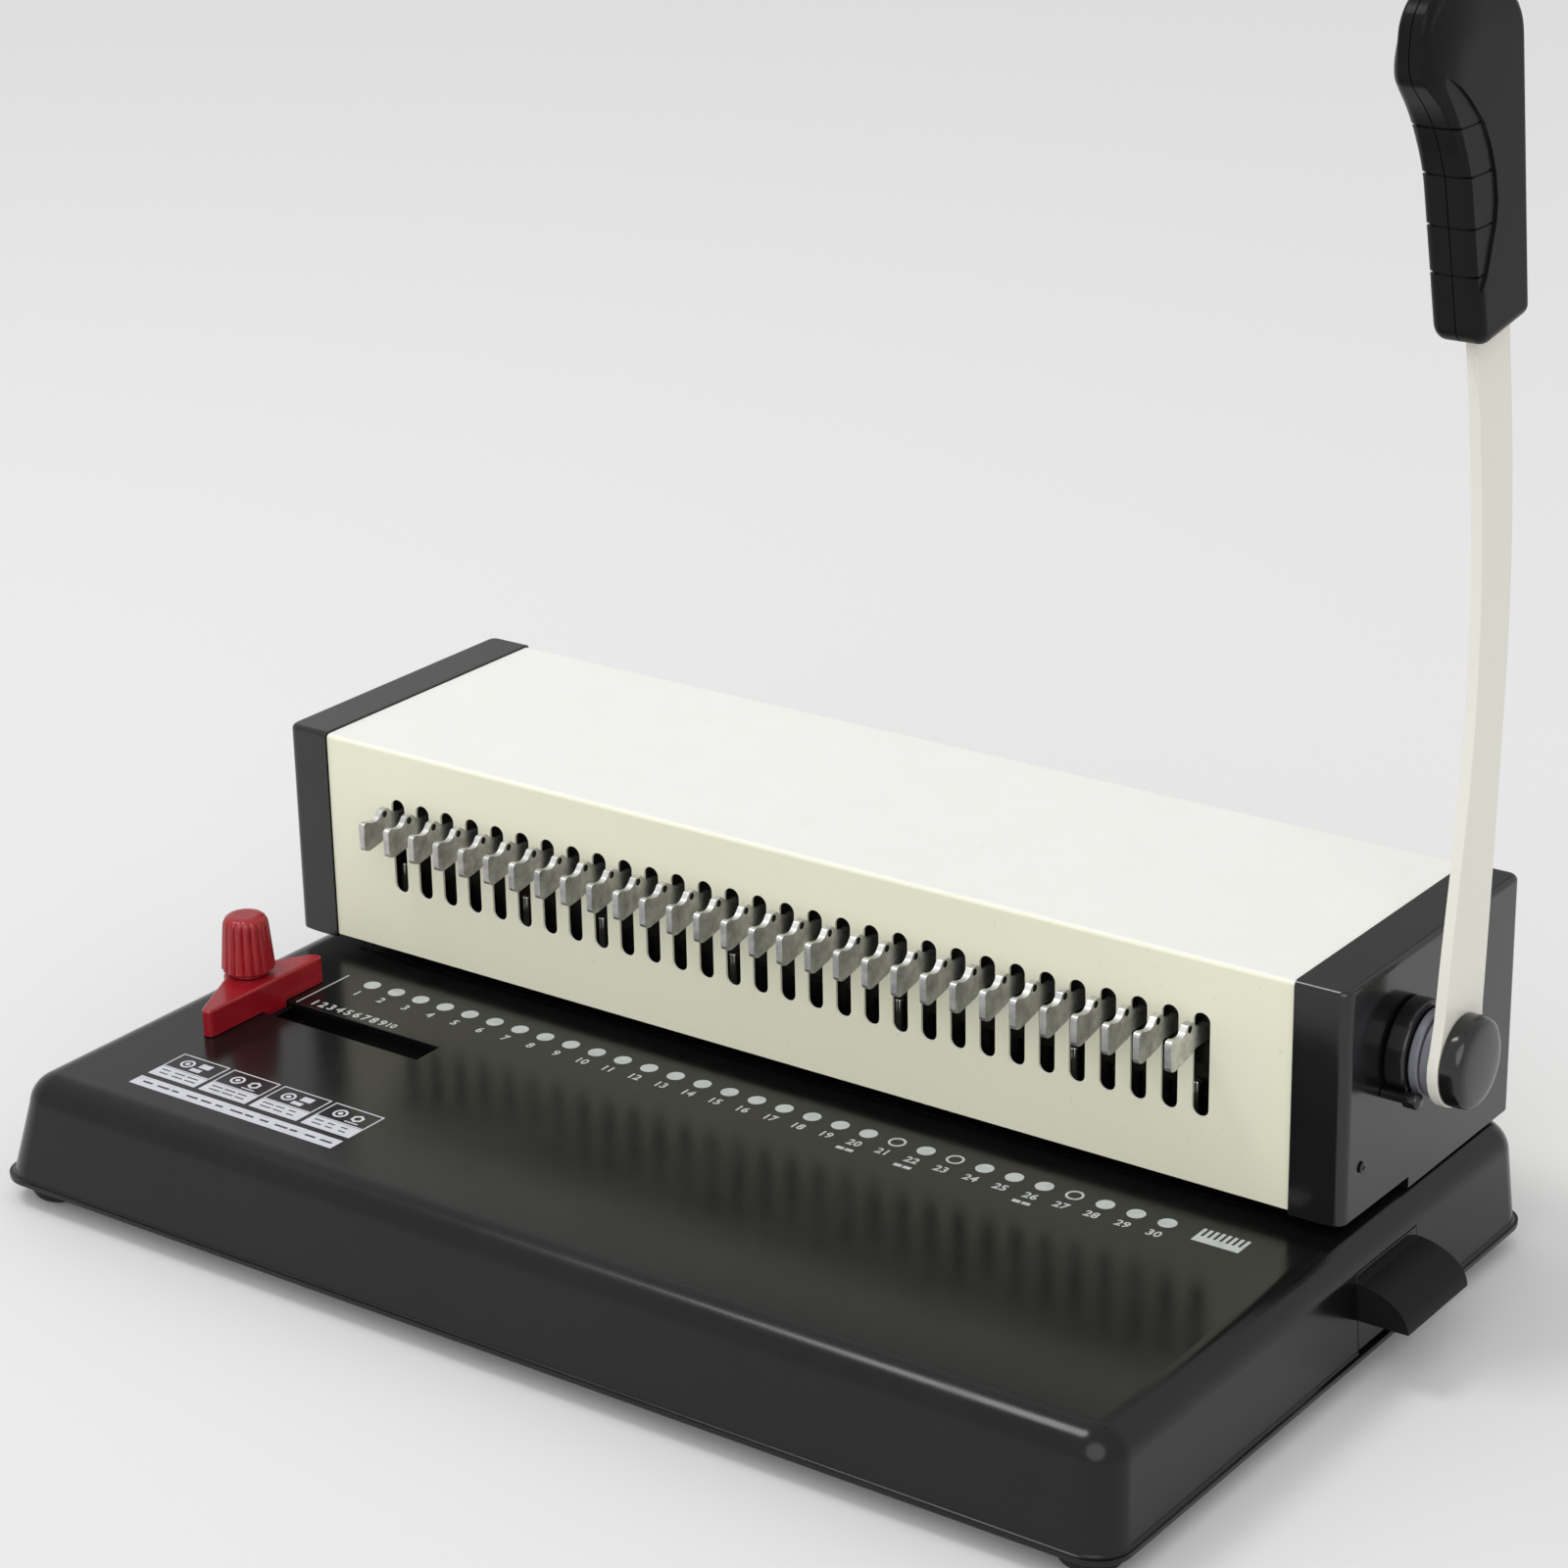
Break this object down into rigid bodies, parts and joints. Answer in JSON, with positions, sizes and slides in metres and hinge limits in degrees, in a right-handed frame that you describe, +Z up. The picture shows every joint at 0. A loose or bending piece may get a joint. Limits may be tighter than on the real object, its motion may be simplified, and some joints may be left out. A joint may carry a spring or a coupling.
{
  "type": "multi-hole punch",
  "caption": "Desk punch for a whole row of binder holes, with a row of ring opener hooks, a side lever, a chip tray and an edge guide.",
  "frame": {"origin": "on the desk under the middle of the machine's bounding box", "axes": "+X to the lever side, +Y from the paper table to the back of the punch unit, +Z up"},
  "size_m": [0.391, 0.222, 0.3642],
  "materials": {
    "black_plastic": "satin, moulded",
    "cream_paint": "fine powder coat",
    "ivory_paint": "satin paint",
    "red_plastic": "satin, moulded",
    "rubber": "matt",
    "steel": "ground",
    "plated_steel": "bright plated",
    "bronze": "sintered",
    "grey_nylon": "satin"
  },
  "bodies": {
    "machine": {"base_housing": "black_plastic", "end_cap_left": "black_plastic", "end_cap_right": "black_plastic", "cap_screw_left_front": "black_plastic", "cap_screw_left_rear": "black_plastic", "cap_screw_right_front": "black_plastic", "cap_screw_right_rear": "black_plastic", "bearing_boss": "black_plastic", "stop_pin": "black_plastic", "punch_cover": "cream_paint", "rubber_foot_front_left": "rubber", "rubber_foot_front_right": "rubber", "rubber_foot_rear_left": "rubber", "rubber_foot_rear_right": "rubber", "bottom_plate": "steel", "base_screw_front_left": "steel", "base_screw_front_right": "steel", "base_screw_rear_left": "steel", "base_screw_rear_right": "steel", "die_plate": "steel", "paper_stop": "steel", "guide_plate": "steel", "side_frame_left": "steel", "side_frame_right": "steel", "rear_tie_rod": "steel", "shaft_bush_left": "bronze", "shaft_bush_right": "bronze"},
    "lever": {"lever_bar": "ivory_paint", "grip_half_left": "black_plastic", "grip_half_right": "black_plastic", "grip_screw_lower": "steel", "grip_screw_upper": "steel", "pivot_bolt": "steel", "pivot_cap": "black_plastic", "drive_shaft": "steel", "cam_left": "steel", "cam_right": "steel", "pinion_left": "steel", "pinion_right": "steel", "spacer_washer_inner": "grey_nylon", "spacer_washer_outer": "grey_nylon", "retaining_ring": "steel"},
    "punch": {"pressure_bar": "steel", "punch_pins": "steel", "return_spring_left": "steel", "return_spring_right": "steel"},
    "opener": {"hook_rail": "plated_steel", "hook_rack_left": "steel", "hook_rack_right": "steel"},
    "guide": {"edge_guide": "red_plastic", "guide_stud": "steel", "clamp_plate": "steel"},
    "knob": {"guide_knob": "red_plastic"},
    "tray": {"tray_floor": "black_plastic", "tray_side_front": "black_plastic", "tray_side_rear": "black_plastic", "tray_left_end": "black_plastic", "tray_pull": "black_plastic"}
  },
  "joints": [
    {"name": "lever_turn", "type": "hinge", "parent": "machine", "child": "lever", "pos_m": [0.1873, 0.0455, 0.083], "axis": [1, 0, 0], "range_deg": [0, 80], "stiffness_Nm_per_rad": 0.6, "springref_deg": -28.65},
    {"name": "punch_stroke", "type": "slide", "parent": "machine", "child": "punch", "axis": [0, 0, -1], "range_m": [0, 0.01], "deforming": ["return_spring_left", "return_spring_right"]},
    {"name": "opener_stroke", "type": "slide", "parent": "machine", "child": "opener", "axis": [0, 0, -1], "range_m": [0, 0.01885]},
    {"name": "guide_slide", "type": "slide", "parent": "machine", "child": "guide", "axis": [1, 0, 0], "range_m": [-0.004, 0.058]},
    {"name": "knob_turn", "type": "hinge", "parent": "guide", "child": "knob", "pos_m": [-0.169, -0.029, 0.063], "axis": [0, 0, 1], "range_deg": [0, 270]},
    {"name": "tray_slide", "type": "slide", "parent": "machine", "child": "tray", "axis": [1, 0, 0], "range_m": [0, 0.3]}
  ],
  "couplings": [
    {"joint": "punch_stroke", "follows": "lever_turn", "m_per_rad": 0.0071619},
    {"joint": "opener_stroke", "follows": "lever_turn", "m_per_rad": 0.0135}
  ]
}
